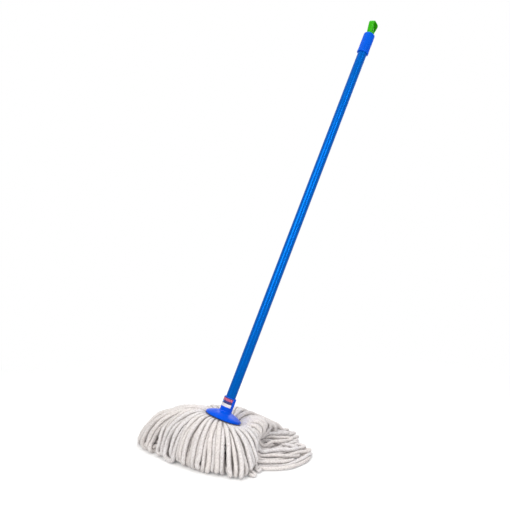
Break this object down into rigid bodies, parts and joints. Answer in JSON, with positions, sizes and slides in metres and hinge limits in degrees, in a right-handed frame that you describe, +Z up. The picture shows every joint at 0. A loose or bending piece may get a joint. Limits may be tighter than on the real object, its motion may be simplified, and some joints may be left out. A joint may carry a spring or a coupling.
{
  "type": "round string mop",
  "caption": "Round string mop standing on its draped yarn head, with a leaning tube handle that unscrews and a swivelling hanging loop.",
  "frame": {"origin": "on the floor, straight under the middle of the cap's rim", "axes": "+Z up, +X to the right as seen from the front, the side that faces -Y; the handle leans towards +X and a little towards +Y"},
  "size_m": [0.6302, 0.3626, 1.1018],
  "materials": {
    "cap_plastic": "glossy moulded",
    "label_film": "glossy printed film",
    "yarn": "soft twisted cotton",
    "screw_steel": "zinc plated",
    "tube_coat": "smooth plastic coat",
    "insert_plastic": "moulded",
    "grip_plastic": "satin moulded",
    "hanger_plastic": "satin moulded"
  },
  "bodies": {
    "head": {"socket_cap": "cap_plastic", "neck_label": "label_film", "yarn_core": "yarn", "clamp_plate": "cap_plastic", "clamp_screws": "screw_steel", "inner_yarn": "yarn", "yarn_tuft_01": "yarn", "yarn_tuft_02": "yarn", "yarn_tuft_03": "yarn", "yarn_tuft_04": "yarn", "yarn_tuft_05": "yarn", "yarn_tuft_06": "yarn", "yarn_tuft_07": "yarn", "yarn_tuft_08": "yarn", "yarn_tuft_09": "yarn", "yarn_tuft_10": "yarn", "yarn_tuft_11": "yarn", "yarn_tuft_12": "yarn", "yarn_tuft_13": "yarn", "yarn_tuft_14": "yarn", "yarn_tuft_15": "yarn", "yarn_tuft_16": "yarn"},
    "handle": {"handle_tube": "tube_coat", "threaded_insert": "insert_plastic", "grip_sleeve": "grip_plastic"},
    "hanger": {"hanger": "hanger_plastic"}
  },
  "joints": [
    {"name": "handle_unscrew", "type": "slide", "parent": "head", "child": "handle", "axis": [0.3603, 0.129, 0.9239], "range_m": [0, 0.06]},
    {"name": "hanger_swivel", "type": "hinge", "parent": "handle", "child": "hanger", "pos_m": [0.37722, 0.13506, 1.0633], "axis": [0.3603, 0.129, 0.9239], "continuous": true}
  ]
}
